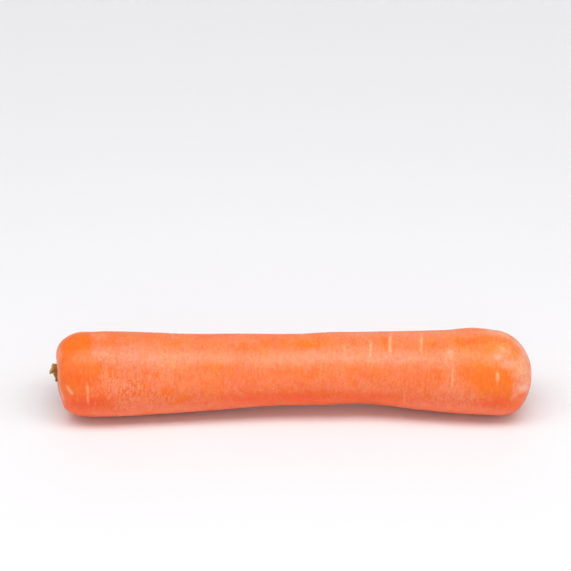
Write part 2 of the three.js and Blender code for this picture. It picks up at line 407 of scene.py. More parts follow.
# lenticels and scratches that the camera sees: line, width, depth, how cream, how dark along one edge
for mark in (
    # the plain ones
    ([(370.2, 335), (370.6, 345), (370.2, 353), (369.2, 363)], 2.5, 0.10, 0.54, 0.0),
    ([(370.4, 342), (370.8, 347), (370.4, 353)], 2.3, 0.12, 1.0, 0.0),
    ([(391.2, 331.5), (390.6, 338), (389.8, 346), (390.2, 351), (391, 358)], 3.0, 0.14, 0.80, 0.30),
    ([(390.8, 334), (390.0, 342), (389.8, 347)], 3.0, 0.12, 0.90, 0.0),
    ([(422, 331.5), (421.5, 342), (420.6, 355)], 2.4, 0.12, 0.76, 0.0),
    ([(345, 341), (344.6, 350), (344.6, 360)], 2.2, 0.08, 0.36, 0.0),
    ([(404.2, 391), (404.6, 406)], 1.9, 0.07, 0.40, 0.0),
    ([(450.2, 347), (451, 353), (451.8, 360)], 4.6, 0.08, 0.36, 0.0),
    ([(452.6, 357), (452.8, 372), (451.8, 393)], 2.4, 0.12, 0.50, 0.55),
    ([(497.6, 366), (497.6, 378), (497.0, 391)], 2.2, 0.11, 0.42, 0.0),
    ([(497.6, 370.5), (497.9, 377), (497.3, 383.5)], 3.6, 0.10, 0.85, 0.0),
    ([(86.8, 379), (87.6, 390), (87.8, 396), (88.4, 408)], 2.6, 0.10, 0.60, 0.0),
    ([(65.8, 384.5), (69.4, 390.0), (74.0, 396.0)], 3.1, 0.11, 0.88, 0.0),
    # the faint ones
    ([(138.2, 381), (139.0, 391)], 2.2, 0.06, 0.30, 0.10),
    ([(125.0, 376), (124.2, 391)], 1.5, 0.05, 0.20, 0.25),
    ([(120.5, 380), (121.5, 390), (119.5, 396)], 1.5, 0.05, 0.16, 0.20),
    ([(107.5, 384), (111.5, 395)], 1.6, 0.05, 0.16, 0.22),
    ([(113, 370), (112, 380)], 1.6, 0.05, 0.20, 0.10),
    ([(103, 378), (103.5, 390)], 1.6, 0.05, 0.16, 0.10),
    ([(172.6, 331), (172.8, 340)], 2.0, 0.06, 0.35, 0.0),
    ([(433, 372), (433.4, 386)], 1.6, 0.05, 0.20, 0.0),
    ([(264, 334), (264, 345)], 1.6, 0.05, 0.18, 0.0),
    ([(471, 388), (470.6, 401)], 1.6, 0.05, 0.16, 0.0),
    ([(309, 350), (312, 366)], 1.5, 0.04, 0.12, 0.0),
    ([(231, 381), (231.6, 397)], 1.5, 0.04, 0.12, 0.0),
    ([(365, 361), (374, 361.5)], 1.7, 0.03, 0.30, 0.0),
    ([(399, 344), (400, 366)], 1.6, 0.03, 0.12, 0.0),
    ([(291, 375), (291.5, 390)], 1.5, 0.04, 0.12, 0.0),
    ([(195, 372), (195.6, 388)], 1.6, 0.04, 0.14, 0.0),
    # scratches on the rubbed tip: the last number is how whitened the skin is
    ([(497.4, 345.0), (501.3, 347.6), (504.6, 350.4)], 3.0, 0.04, 0.34, 0.16, 0.35, 0.18),
    # a pale blob where the lamp's highlight falls on the tip's bulge: painted highlight
    ([(493.6, 359.0), (498, 357), (503, 354.4)], 5.0, 0.04, 0.0, 0.10, 0.35, 0.66),
    ([(496.5, 357.5), (498.4, 361.5)], 3.2, 0.03, 0.0, 0.0, 0.35, 0.55),
    ([(499.4, 348.6), (499.2, 354)], 1.6, 0.02, 0.10, 0.0, 0.35, 0.30),
    ([(504.8, 354.2), (508.4, 356.6)], 1.5, 0.02, 0.22, 0.10, 0.35, 0.10),
    ([(507.0, 349.6), (509.3, 352.6), (510, 355)], 2.4, 0.03, 0.34, 0.0, 0.35, 0.10),
    ([(501, 361), (509, 362.5), (518, 360.5)], 4.0, 0.03, 0.0, 0.08, 0.35, 0.50),
    ([(502, 366.5), (510, 366.4), (517, 364.5)], 3.0, 0.04, 0.0, 0.16, 0.35, 0.50),
    ([(507, 370), (513, 371.6), (519, 370.5)], 1.4, 0.03, 0.12, 0.14),
    ([(518.5, 351), (520.8, 362), (520.8, 376)], 3.0, 0.03, 0.0, 0.10, 0.35, 0.52),
    ([(524.0, 352), (527.2, 365), (527.2, 378)], 3.0, 0.03, 0.0, 0.08, 0.35, 0.46),
    ([(516.5, 366), (517.5, 376), (516.5, 387)], 1.3, 0.05, 0.10, 0.34),
    ([(520.5, 372), (521.5, 379), (520.5, 386)], 1.2, 0.05, 0.10, 0.32),
    ([(514.2, 372), (514.8, 380), (513.2, 390)], 1.4, 0.03, 0.0, 0.20, 0.35, 0.34),
    ([(523.5, 379), (523, 384), (521.5, 387)], 1.1, 0.03, 0.08, 0.26),
    ([(511, 392), (516, 387.5), (521, 382)], 1.6, 0.03, 0.0, 0.12, 0.35, 0.36),
    ([(516, 392), (522, 389), (529, 384)], 5.6, 0.03, 0.0, 0.0, 0.30, 0.95),
    ([(509, 399.5), (513, 396), (517, 391.5)], 3.0, 0.04, 0.0, 0.14, 0.35, 0.60),
    ([(487.5, 401.5), (491.5, 398.2)], 2.6, 0.03, 0.0, 0.0, 0.35, 0.46),
    ([(471, 395), (474, 391)], 1.4, 0.03, 0.10, 0.16),
    # the tip's upper edge, whitened along the outline: painted rim highlight
    ([(484, 331.2), (492, 331.4), (500, 333.2), (507, 336.4), (513, 340.4)], 4.0, 0.0, 0.0, 0.0, 0.25, 0.85),
    ([(508, 336.8), (514, 340.8), (520, 346.6), (525, 353.0), (528.4, 360)], 4.4, 0.0, 0.0, 0.0, 0.25, 0.95),
    # fine brown scratches among them
    ([(500.4, 348), (500.8, 351), (500.2, 354)], 1.1, 0.03, 0.0, 0.0, 0.3, 0.0, 0.36),
    ([(501.5, 364.6), (504, 365.4), (506.5, 364)], 1.1, 0.03, 0.0, 0.0, 0.3, 0.0, 0.40),
    ([(505.5, 357.6), (509.5, 358.6)], 0.9, 0.02, 0.0, 0.0, 0.3, 0.0, 0.26),
    ([(515.2, 367.5), (516.2, 371), (515.6, 374)], 1.3, 0.04, 0.0, 0.0, 0.3, 0.0, 0.42),
    ([(519.3, 355), (519.9, 361), (519.5, 367)], 1.2, 0.04, 0.0, 0.0, 0.3, 0.0, 0.38),
    ([(514.2, 377.5), (516.0, 382), (514.6, 388)], 1.2, 0.04, 0.0, 0.0, 0.3, 0.0, 0.50),
    ([(518.8, 374), (519.6, 379), (518.6, 384)], 1.1, 0.04, 0.0, 0.0, 0.3, 0.0, 0.40),
    ([(522.0, 379), (521.6, 384), (520.2, 388)], 1.2, 0.04, 0.0, 0.0, 0.3, 0.0, 0.42),
    ([(526.4, 358), (527.4, 362)], 1.5, 0.03, 0.0, 0.0, 0.3, 0.0, 0.34),
    ([(527.6, 371), (528.4, 376)], 1.6, 0.03, 0.0, 0.0, 0.3, 0.0, 0.36),
    ([(511.5, 391.5), (513.5, 393.5), (512.8, 396.5)], 1.2, 0.04, 0.0, 0.0, 0.3, 0.0, 0.38),
    ([(522, 393.2), (525, 394.6)], 1.6, 0.03, 0.0, 0.0, 0.3, 0.0, 0.30),
    ([(508.5, 371.5), (512, 373.4)], 1.0, 0.03, 0.0, 0.0, 0.3, 0.0, 0.32),
    # creases of the dried patch behind the crown
    ([(104.5, 387.5), (108.5, 388.0), (111.0, 391.5), (112.6, 394.5)], 1.3, 0.04, 0.0, 0.0, 0.3, 0.0, 0.50),
    ([(105.6, 389), (107.6, 393), (111.4, 395.2)], 1.2, 0.04, 0.0, 0.0, 0.3, 0.0, 0.38),
    ([(112.6, 379), (113.0, 389)], 1.2, 0.04, 0.0, 0.0, 0.3, 0.0, 0.36),
    ([(109.8, 369.5), (110.2, 376)], 1.4, 0.04, 0.0, 0.0, 0.3, 0.0, 0.32),
    ([(122.4, 379.5), (121.6, 388), (123.0, 391.5)], 1.2, 0.04, 0.0, 0.0, 0.3, 0.0, 0.36),
    ([(113.0, 393.2), (118.4, 393.4), (122.0, 396.8)], 1.1, 0.03, 0.0, 0.0, 0.3, 0.0, 0.34),
    ([(129.0, 384), (133.6, 384.4), (137.4, 384.2)], 1.2, 0.03, 0.0, 0.0, 0.3, 0.0, 0.36),
    ([(136.9, 382), (137.3, 390.5)], 1.2, 0.04, 0.0, 0.0, 0.3, 0.0, 0.38),
    ([(130.2, 392.6), (131.4, 388.6), (133.8, 387.8)], 1.2, 0.03, 0.0, 0.0, 0.3, 0.0, 0.40),
    ([(114.2, 396.4), (113.4, 401.5)], 1.2, 0.03, 0.0, 0.0, 0.3, 0.0, 0.38),
    ([(127.6, 399.6), (127.2, 403.6)], 1.1, 0.03, 0.0, 0.0, 0.3, 0.0, 0.36),
    ([(104.2, 393), (103.9, 399)], 1.2, 0.03, 0.0, 0.0, 0.3, 0.0, 0.30),
    ([(133.8, 406.0), (136.6, 403.6)], 1.4, 0.03, 0.0, 0.0, 0.3, 0.0, 0.36),
    ([(118.0, 381.0), (116.6, 386.0)], 1.2, 0.03, 0.0, 0.0, 0.3, 0.0, 0.26),
    ([(120.4, 390.0), (120.2, 398.0)], 1.6, 0.0, 0.0, 0.0, 0.3, 0.22),
    ([(108.8, 381.5), (110.0, 388.5)], 2.6, 0.0, 0.0, 0.0, 0.3, 0.26),
    ([(116.6, 388.0), (116.0, 395.0)], 2.0, 0.0, 0.0, 0.0, 0.3, 0.22),
    ([(128.6, 396.0), (132.6, 393.6)], 1.8, 0.0, 0.0, 0.0, 0.3, 0.22),
    ([(123.6, 381.0), (124.2, 386.5)], 1.8, 0.0, 0.0, 0.0, 0.3, 0.26),
    ([(107.0, 371.5), (106.6, 375.5)], 2.0, 0.0, 0.0, 0.0, 0.3, 0.26),
    # crumbs and rubbed streaks of paler film
    ([(119.6, 353.0), (122.4, 354.2)], 3.4, 0.02, 0.0, 0.0, 0.35, 0.42),
    ([(106.5, 346.2), (109.5, 346.8)], 3.2, 0.02, 0.0, 0.0, 0.35, 0.32),
    ([(91.5, 334.6), (94.5, 335.2)], 3.0, 0.0, 0.0, 0.0, 0.35, 0.45),
    ([(148.6, 374.4), (150.4, 377.2), (152.6, 374.2)], 2.0, 0.02, 0.0, 0.0, 0.3, 0.40),
    ([(138.6, 383.0), (139.2, 389.5)], 1.8, 0.0, 0.0, 0.0, 0.3, 0.34),
    # pale streaks along the row of the overhead lamp's highlight: painted highlight
    ([(146, 357.8), (156, 357.0), (166, 357.4)], 4.6, 0.0, 0.0, 0.0, 0.35, 0.28),
    ([(336, 357.4), (345, 359.0), (361, 358.4)], 3.8, 0.0, 0.0, 0.0, 0.35, 0.32),
    ([(382.6, 354.6), (390, 359.6)], 4.0, 0.0, 0.0, 0.0, 0.35, 0.30),
    ([(391, 361.2), (404, 363.0)], 4.4, 0.0, 0.0, 0.0, 0.35, 0.24),
    ([(412, 357.2), (420, 359.4), (428, 357.4)], 4.0, 0.0, 0.0, 0.0, 0.35, 0.30),
    ([(443, 356), (449, 352.6), (455, 351.6)], 4.0, 0.0, 0.0, 0.0, 0.35, 0.30),
    ([(365.6, 361), (374, 361.4)], 2.0, 0.0, 0.0, 0.0, 0.35, 0.32),
    ([(446, 357.2), (452, 356.8)], 3.0, 0.0, 0.0, 0.0, 0.35, 0.24),
    # the tip's right outline whitened: painted rim highlight
    ([(529.4, 366), (530.4, 371), (530.2, 377)], 3.0, 0.0, 0.0, 0.0, 0.30, 0.80),
    ([(526.8, 375), (527.6, 380), (526.6, 385)], 3.4, 0.0, 0.0, 0.0, 0.30, 0.60),
    # a rubbed streak low on the tip
    ([(509, 399.8), (515, 396.4)], 3.8, 0.0, 0.0, 0.0, 0.35, 0.45),
    # the crown's rubbed edge low down; the pale band above it along the outline is a painted rim highlight
    ([(57.9, 378), (58.9, 385), (60.6, 391.5), (63.0, 399), (65.0, 405)], 2.2, 0.02, 0.52, 0.10),
    ([(61.5, 343), (58.8, 351), (58.0, 360), (58.2, 370)], 3.0, 0.0, 0.0, 0.0, 0.35, 0.50),
):
    stroke(*mark)


def pit(x, y, r_px, depth, shade, cream=0.0):
    d = np.hypot(SEEN_X - x, SEEN_Y - y) / r_px
    global relief, dark, pale
    relief = relief - depth * np.exp(-(d**2)) * IN_VIEW
    dark = np.maximum(dark, shade * np.exp(-(d**2)) * IN_VIEW)
    if cream:
        pale = np.maximum(pale, cream * np.exp(-(((d - 1.9) / 0.6) ** 2)) * IN_VIEW)


for p in (
    (86.6, 384.8, 1.1, 0.08, 0.75),
    (86.4, 390.5, 0.8, 0.05, 0.40),
    (203.0, 347.2, 1.4, 0.08, 0.50),
    (201.0, 348.0, 1.0, 0.05, 0.40),
    (347.5, 347.6, 1.8, 0.06, 0.38, 0.20),
    (357.3, 349.2, 1.2, 0.04, 0.42),
    (384.6, 352.0, 1.0, 0.04, 0.35),
    (355.0, 355.5, 0.9, 0.03, 0.35),
    (352.6, 354.5, 0.9, 0.03, 0.35),
    (347.2, 347.2, 2.6, 0.02, 0.30),
    (447.0, 366.0, 0.9, 0.04, 0.45),
    (447.6, 371.0, 0.9, 0.04, 0.45),
    (446.8, 377.0, 0.9, 0.04, 0.38),
    (318.0, 357.0, 0.8, 0.03, 0.32),
    (394.5, 352.5, 1.0, 0.03, 0.30),
    (158.6, 370.4, 1.4, 0.03, 0.32),
    (162.8, 372.4, 1.6, 0.03, 0.34),
    (155.0, 377.5, 1.2, 0.03, 0.28),
    (97.5, 353.0, 1.5, 0.03, 0.30),
    (122.5, 353.5, 1.4, 0.03, 0.24),
    (466.3, 403.0, 1.0, 0.03, 0.40),
    (467.5, 394.0, 1.0, 0.03, 0.30),
):
    pit(*p)

# the rest of the skin all round: few and faint where the camera looks, plain ones elsewhere
rnd = np.random.RandomState(2024)
for k in range(150):
    s0 = rnd.uniform(9, 174)
    a0 = rnd.uniform(-math.pi, math.pi)
    facing = math.cos(a0 - (math.pi - VIEW_TILT)) > 0.05
    bold = rnd.rand() ** 2.2
    half = rnd.uniform(1.2, 3.0) + 4.5 * bold
    width = rnd.uniform(0.34, 0.46) + 0.22 * bold
    if facing:
        half, bold = half * 0.6, bold * 0.15
    lenticel(
        s0,
        a0,
        half,
        width,
        0.03 + 0.11 * bold,
        (0.06 if facing else 0.14) + 0.75 * bold,
        edge=0.35 * bold * (rnd.rand() > 0.6),
        tilt=rnd.normal(0, 0.04),
        bow=rnd.normal(0, 0.03),
    )
    # lenticels come in broken rows round the root
    if not facing and rnd.rand() > 0.55:
        gap = (half * 2 + rnd.uniform(1.5, 4.0)) / float(body_radius(s0))
        if math.cos(a0 + gap - (math.pi - VIEW_TILT)) < 0.05:
            lenticel(
                s0 + rnd.normal(0, 0.25),
                a0 + gap,
                half * rnd.uniform(0.4, 0.9),
                width * 0.9,
                0.03 + 0.08 * bold,
                0.08 + 0.55 * bold,
            )

# ---- crown: hollow with cork rings, rim, shallow furrows over the shoulder ----
ang_noise = fbm(np.stack([np.cos(TH) * 2.2, np.sin(TH) * 2.2, rho * 0.22], -1), 3, 21)
ring_wave = np.sin(rho * 6.2 + 3.0 * ang_noise + 0.8 * np.sin(3 * TH))
relief += np.where(inside, 0.085 * ring_wave * smooth(-rho, -7.6, -5.2) * smooth(rho, 1.0, 2.4), 0)
relief += np.where(
    inside,
    0.16 * fbm(P0 * (0.4, 0.75, 0.75), 3, 22) * smooth(-rho, -8.5, -5.5),
    0,
)
# old leaf-base scars: crescents round the hollow
for k in range(9):
    a0 = k * 2.39996 + 0.4
    r0 = 4.9 + 0.5 * math.sin(k * 1.7)
    d_r = rho - r0 - 0.35 * np.cos(wrap(TH - a0) * 2.2)
    m = np.exp(-((d_r / 0.28) ** 2)) * np.clip(1 - (wrap(TH - a0) * r0 / 2.1) ** 2, 0, 1)
    relief += np.where(inside, 0.16 * m, 0)
    dark = np.maximum(dark, np.where(inside, 0.5 * np.exp(-(((d_r + 0.5) / 0.3) ** 2)) * (m > 0.02), 0))
# furrows running over the shoulder from the hollow
fur = 0.0
for count, amp, ph in ((5, 0.5, 0.3), (8, 0.7, 1.9), (13, 0.45, 4.0)):
    fur = fur + amp * np.cos(count * TH + ph + 0.5 * np.sin(TH * 2 + ph))
shoulder = smooth(rho, 5.6, 7.6) * smooth(-rho, -15.0, -9.5)
relief += np.where(inside, 0.10 * fur * shoulder, 0)

scar = np.where(inside, smooth(-(rho + 1.5 * ang_noise), -7.0, -5.0), 0)
# the brown stain thins out over the rim, and reaches furthest on the low side
low_side = 0.5 - 0.5 * np.sin(TH + 0.57)
stain = np.where(
    inside,
    smooth(-(rho + 2.2 * ang_noise), -(8.2 + 3.0 * low_side), -(6.2 + 1.6 * low_side)),
    0,
)
# a pale, dull ring where the rim is rubbed
rim = np.where(inside, np.exp(-(((rho - 8.3 + 0.8 * ang_noise) / 1.7) ** 2)), 0)

# ---- tip: the skin puckers in rings towards the broken tail ----
t_noise = fbm(np.stack([np.cos(TH) * 1.6, np.sin(TH) * 1.6, tr * 0.25], -1), 3, 31)
tail_y, tail_z = 0.5, -0.6
td = np.where(tip_in, np.hypot(RAD * np.cos(TH) - tail_y, RAD * np.sin(TH) - tail_z), 99.0)
pucker = smooth(-td, -9.0, -2.0)
relief += np.where(
    tip_in,
    -0.035 * (0.5 + 0.5 * np.sin(td * 3.4 + 2.6 * t_noise)) * pucker
    - 0.05 * np.abs(fbm(np.stack([td * 0.9, np.cos(TH) * 1.2, np.sin(TH) * 1.2], -1), 2, 32)) * smooth(-tr, -14, -5),
    0,
)
relief += np.where(tip_in, -0.62 * np.exp(-((td / 1.55) ** 4)) - 0.22 * np.exp(-((td / 3.0) ** 2)), 0)
relief += np.where(tip_in, 0.5 * np.exp(-((td / 0.75) ** 3)) * (1 + 0.5 * np.sin(TH * 5)), 0)
tail = np.where(tip_in, smooth(-(td + 0.7 * t_noise), -2.6, -1.2), 0)
scar = np.maximum(scar, 0.85 * tail)
dark = np.maximum(dark, np.where(tip_in, 0.75 * np.exp(-(((td - 1.35) / 0.4) ** 2)), 0))

# ---- where the film of dried skin lies, from none to thick; some blots below are painted highlight and painted shade ----
big = fbm(P0 / 15.0, 3, 41)
mid = fbm(P0 * (0.24, 0.19, 0.19), 3, 42)
film_and_light = 0.31 + 0.11 * big + 0.13 * mid

# glossy, saturated crown end: its edge is ragged
edge_s = 12.8 + 1.2 * np.sin(TH + 1.0) + 1.2 * np.sin(2 * TH - 0.6) + 4.5 * warp_a
film_and_light *= 0.02 + 0.98 * smooth(S - edge_s, -1.5, 2.6)

for x, y, rx, ry, amount in (
    # film lies thickest
    # the long, narrow bands near rows 354 to 359 thicken the pale film along the overhead lamp's highlight: painted
    # highlight
    (140, 354, 52, 11, 0.24),
    (100, 351, 8, 7, 0.22),
    (118, 388, 26, 18, 0.10),
    (218, 358, 34, 8, 0.12),
    (335, 358, 50, 8, 0.16),
    (390, 359, 30, 7, 0.14),
    (420, 358, 20, 8, 0.12),
    (370, 334, 60, 4, 0.22),
    (440, 333, 50, 4, 0.20),
    (449, 357, 10, 12, 0.22),
    (450, 380, 8, 15, 0.20),
    (457, 398, 16, 9, 0.08),
    (482, 352, 15, 7, -0.12),
    (474, 360, 12, 6, 0.10),
    # a pale spot where the lamp's highlight falls on the tip: painted highlight
    (498, 357.5, 5, 4, 0.44),
    (504, 350, 6, 4, 0.34),
    (509, 364, 9, 4, 0.38),
    (522, 370, 8, 24, 0.56),
    (523, 389, 7, 4, 0.36),
    (517, 394, 6, 6, 0.20),
    (478, 399, 14, 6, 0.12),
    (494, 333, 22, 4, 0.28),
    (96, 337, 9, 5, 0.26),
    (300, 357, 30, 5, 0.10),
    (66, 366, 7, 12, 0.02),
    (60, 352, 3, 12, 0.40),
    # glossy skin shows through
    (104, 343, 10, 5, -0.26),
    (98, 369, 5, 6, -0.36),
    (94, 377, 6, 8, -0.40),
    (85, 358, 6, 9, -0.30),
    (87, 388, 4, 6, -0.20),
    (98, 408, 22, 4, -0.50),
    (205, 366, 16, 7, -0.22),
    (206, 385, 10, 6, -0.12),
    (167, 392, 7, 6, -0.26),
    (183, 399, 9, 4, -0.22),
    (148, 371, 9, 6, -0.12),
    (252, 346, 26, 7, -0.14),
    (306, 344, 22, 5, -0.26),
    (264, 343, 5, 5, -0.14),
    (243, 343, 6, 4, -0.14),
    (280, 373, 34, 7, -0.14),
    (322, 395, 9, 5, -0.20),
    (341, 396, 7, 4, -0.20),
    (370, 372, 40, 8, -0.12),
    (385, 343, 6, 8, -0.20),
    (432, 346, 12, 6, -0.18),
    (467, 342, 12, 5, -0.28),
    (483, 338, 9, 5, -0.24),
    (484, 380, 13, 12, -0.55),
    (502, 387, 14, 16, -0.52),
    (508, 403, 16, 7, -0.40),
    (463, 376, 8, 8, -0.26),
    (517, 352, 5, 9, -0.46),
    (510, 352, 4, 8, -0.04),
    (438, 340, 40, 5, 0.13),
    (75, 371, 13, 6, 0.10),
    (93, 387, 4, 7, -0.16),
    (502, 341, 14, 5, -0.24),
    (523.5, 395.5, 5, 4, -0.55),
    (78, 343, 14, 8, -0.10),
    # film taken away along the bottom edge so that the underside shows darker and redder: painted shade
    (325, 400, 85, 7, -0.32),
    (300, 394, 110, 10, -0.13),
    (102, 397, 10, 9, -0.24),
    (134, 391, 16, 10, -0.12),
    (190, 401, 40, 7, -0.10),
    (90, 361, 5, 5, -0.30),
    (99, 361, 5, 5, -0.26),
    (190, 396, 60, 10, -0.02),
    (430, 384, 26, 12, -0.06),
    (235, 384, 60, 14, -0.02),
    # painted shade: film taken away along the bottom edge at both ends, so that it shows darker and redder
    (86, 403, 26, 6, -0.42),
    (80, 397, 7, 6, -0.18),
    (488, 403, 26, 5, -0.22),
    (184, 342, 20, 7, 0.02),
    (174, 345, 12, 6, -0.16),
    (246, 341, 18, 6, 0.22),
    (292, 336, 16, 4, 0.06),
    (163, 391, 10, 8, 0.08),
    (190, 390, 14, 9, 0.09),
    (200, 368, 12, 6, 0.04),
    (163, 364, 14, 6, 0.06),
    (196, 357, 12, 5, 0.08),
    (228, 366, 20, 6, -0.14),
    (232, 374, 20, 5, -0.05),
    (314, 372, 14, 8, -0.10),
    (334, 366, 26, 5, -0.10),
    (330, 380, 14, 6, -0.08),
    (292, 372, 8, 5, -0.08),
    (398, 362, 12, 6, 0.06),
    (436, 338, 14, 5, -0.06),
    (452, 340, 12, 6, -0.10),
    (470, 356, 20, 8, -0.14),
    (474, 366, 14, 7, -0.16),
    (446, 376, 10, 9, -0.16),
    (434, 378, 8, 8, -0.05),
    (462, 394, 16, 8, -0.06),
    (486, 350, 10, 6, -0.06),
    (478, 398, 10, 6, -0.10),
    (500, 341, 16, 6, 0.16),
    (512, 350, 6, 6, 0.20),
    (525, 383, 5, 8, 0.20),
    (519, 358, 6, 8, 0.12),
    (471, 368, 6, 6, 0.10),
    (112, 372, 8, 8, -0.10),
    (120, 394, 10, 8, -0.06),
    (88, 367, 6, 6, -0.16),
    (90, 376, 5, 6, -0.10),
    (96, 384, 6, 6, 0.14),
):
    film_and_light = film_and_light + amount * blot(x, y, rx, ry)
# painted shade: the flesh made redder where the skin faces down and along the bottom edge; redder flesh round the crown
# too, and yellower flesh on the tip
facing_down = smooth(-NRM[..., 2], -0.16, 0.34)
redder_and_shade = facing_down * (0.5 + 0.25 * warp_a) * (1 - 0.7 * blot(155, 404, 46, 9))
for x, y, rx, ry, amount in (
    (85, 380, 13, 14, 0.34),
    (80, 396, 16, 8, 0.30),
    (86, 404, 34, 9, 0.95),
    (150, 404, 40, 5, 0.30),
    (206, 401, 24, 6, 0.35),
    (250, 399, 46, 7, 0.85),
    (305, 398, 56, 7, 0.85),
    (360, 398, 46, 7, 0.80),
    (392, 397, 20, 6, 0.40),
    (300, 388, 90, 7, 0.25),
    (430, 402, 30, 6, 0.30),
    (494, 403, 34, 6, 0.70),
    (468, 403, 20, 5, 0.30),
):
    redder_and_shade = np.maximum(redder_and_shade, amount * blot(x, y, rx, ry))
for x, y, rx, ry, amount in (
    (495, 348, 26, 14, 0.85),
    (486, 366, 24, 12, 0.80),
    (505, 344, 16, 10, 0.80),
    (514, 352, 7, 9, 0.80),
    (521, 368, 9, 16, 0.55),
    (482, 378, 20, 12, 0.65),
    (504, 376, 14, 12, 0.60),
    (462, 352, 14, 14, 0.55),
    (455, 340, 14, 8, 0.50),
    (308, 343, 26, 5, 0.70),
    (70, 350, 14, 16, 0.30),
    (140, 340, 34, 6, 0.20),
    (172, 342, 10, 6, 0.10),
):
    amber = np.maximum(amber, amount * blot(x, y, rx, ry))
for x, y, rx, ry, amount in (
    (133, 366, 17, 30, 0.85),
    (520, 372, 8, 16, 0.15),
):
    dull = np.maximum(dull, amount * blot(x, y, rx, ry))
dull = np.maximum(dull, 0.22 * (1 - IN_VIEW) * np.clip(big, 0.0, 1.0))
amber = np.maximum(amber, np.where(tip_in, 0.4, 0.0) * (1 - IN_VIEW) * smooth(warp_a, -0.2, 0.3))
# bare glossy islands and thick film elsewhere
for k in range(60):
    s0 = rnd.uniform(12, 172)
    a0 = rnd.uniform(-math.pi, math.pi)
    if math.cos(a0 - (math.pi - VIEW_TILT)) > 0.02:
        continue
    d = np.hypot(
        (S - s0 + 2.2 * warp_a) / rnd.uniform(1.8, 8.0),
        (wrap(TH - a0) * RAD + 2.2 * warp_b) / rnd.uniform(1.4, 4.0),
    )
    film_and_light += rnd.uniform(-0.42, 0.26) * np.exp(-(d**2))
# crumbly film
crumb = 0.22 + 0.8 * smooth(fbm(P0 / 11.0, 2, 71), 0.12, 0.5) * (1 - IN_VIEW)
for x, y, rx, ry, amount in (
    (118, 388, 28, 22, 1.0),
    (112, 352, 22, 14, 0.55),
    (160, 372, 14, 10, 0.6),
    (165, 398, 30, 8, 0.5),
    (352, 350, 14, 10, 0.35),
    (450, 372, 14, 24, 0.35),
    (508, 352, 12, 14, 0.4),
    (519, 376, 10, 26, 0.5),
    (330, 400, 30, 6, 0.5),
    (470, 398, 20, 8, 0.5),
):
    crumb = crumb + amount * blot(x, y, rx, ry)
crumb = np.clip(crumb, 0, 1.1)
# rubbed, pale tip all round
film_and_light += np.where(tip_in, 0.16 * smooth(-(tr + 3.5 * t_noise), -12.0, -5.0) * (1 - tail), 0)
film_and_light = np.clip(film_and_light, 0, 1.25)
film_and_light *= 1 - scar

relief = np.clip(relief, -0.9, 0.32)
# the shoulder is squarer on its upper side, and so is the tip on its lower side
over = smooth(np.cos(TH - (math.pi / 2 - VIEW_TILT)), 0.1, 1.0)
under = smooth(-np.cos(TH - (math.pi / 2 - VIEW_TILT)), 0.1, 1.0)
square = 0.44 * np.exp(-(((S - 9.2) / np.where(S < 9.2, 4.8, 3.8)) ** 2)) * over * smooth(RAD, 9.0, 14.5)
square += 0.75 * np.exp(-(((S - 174.2) / 4.2) ** 2)) * under
P = P0 + NRM * (relief + square)[..., None]
P = P + SHIFT
P[..., 2] = np.maximum(P[..., 2], 0.0)


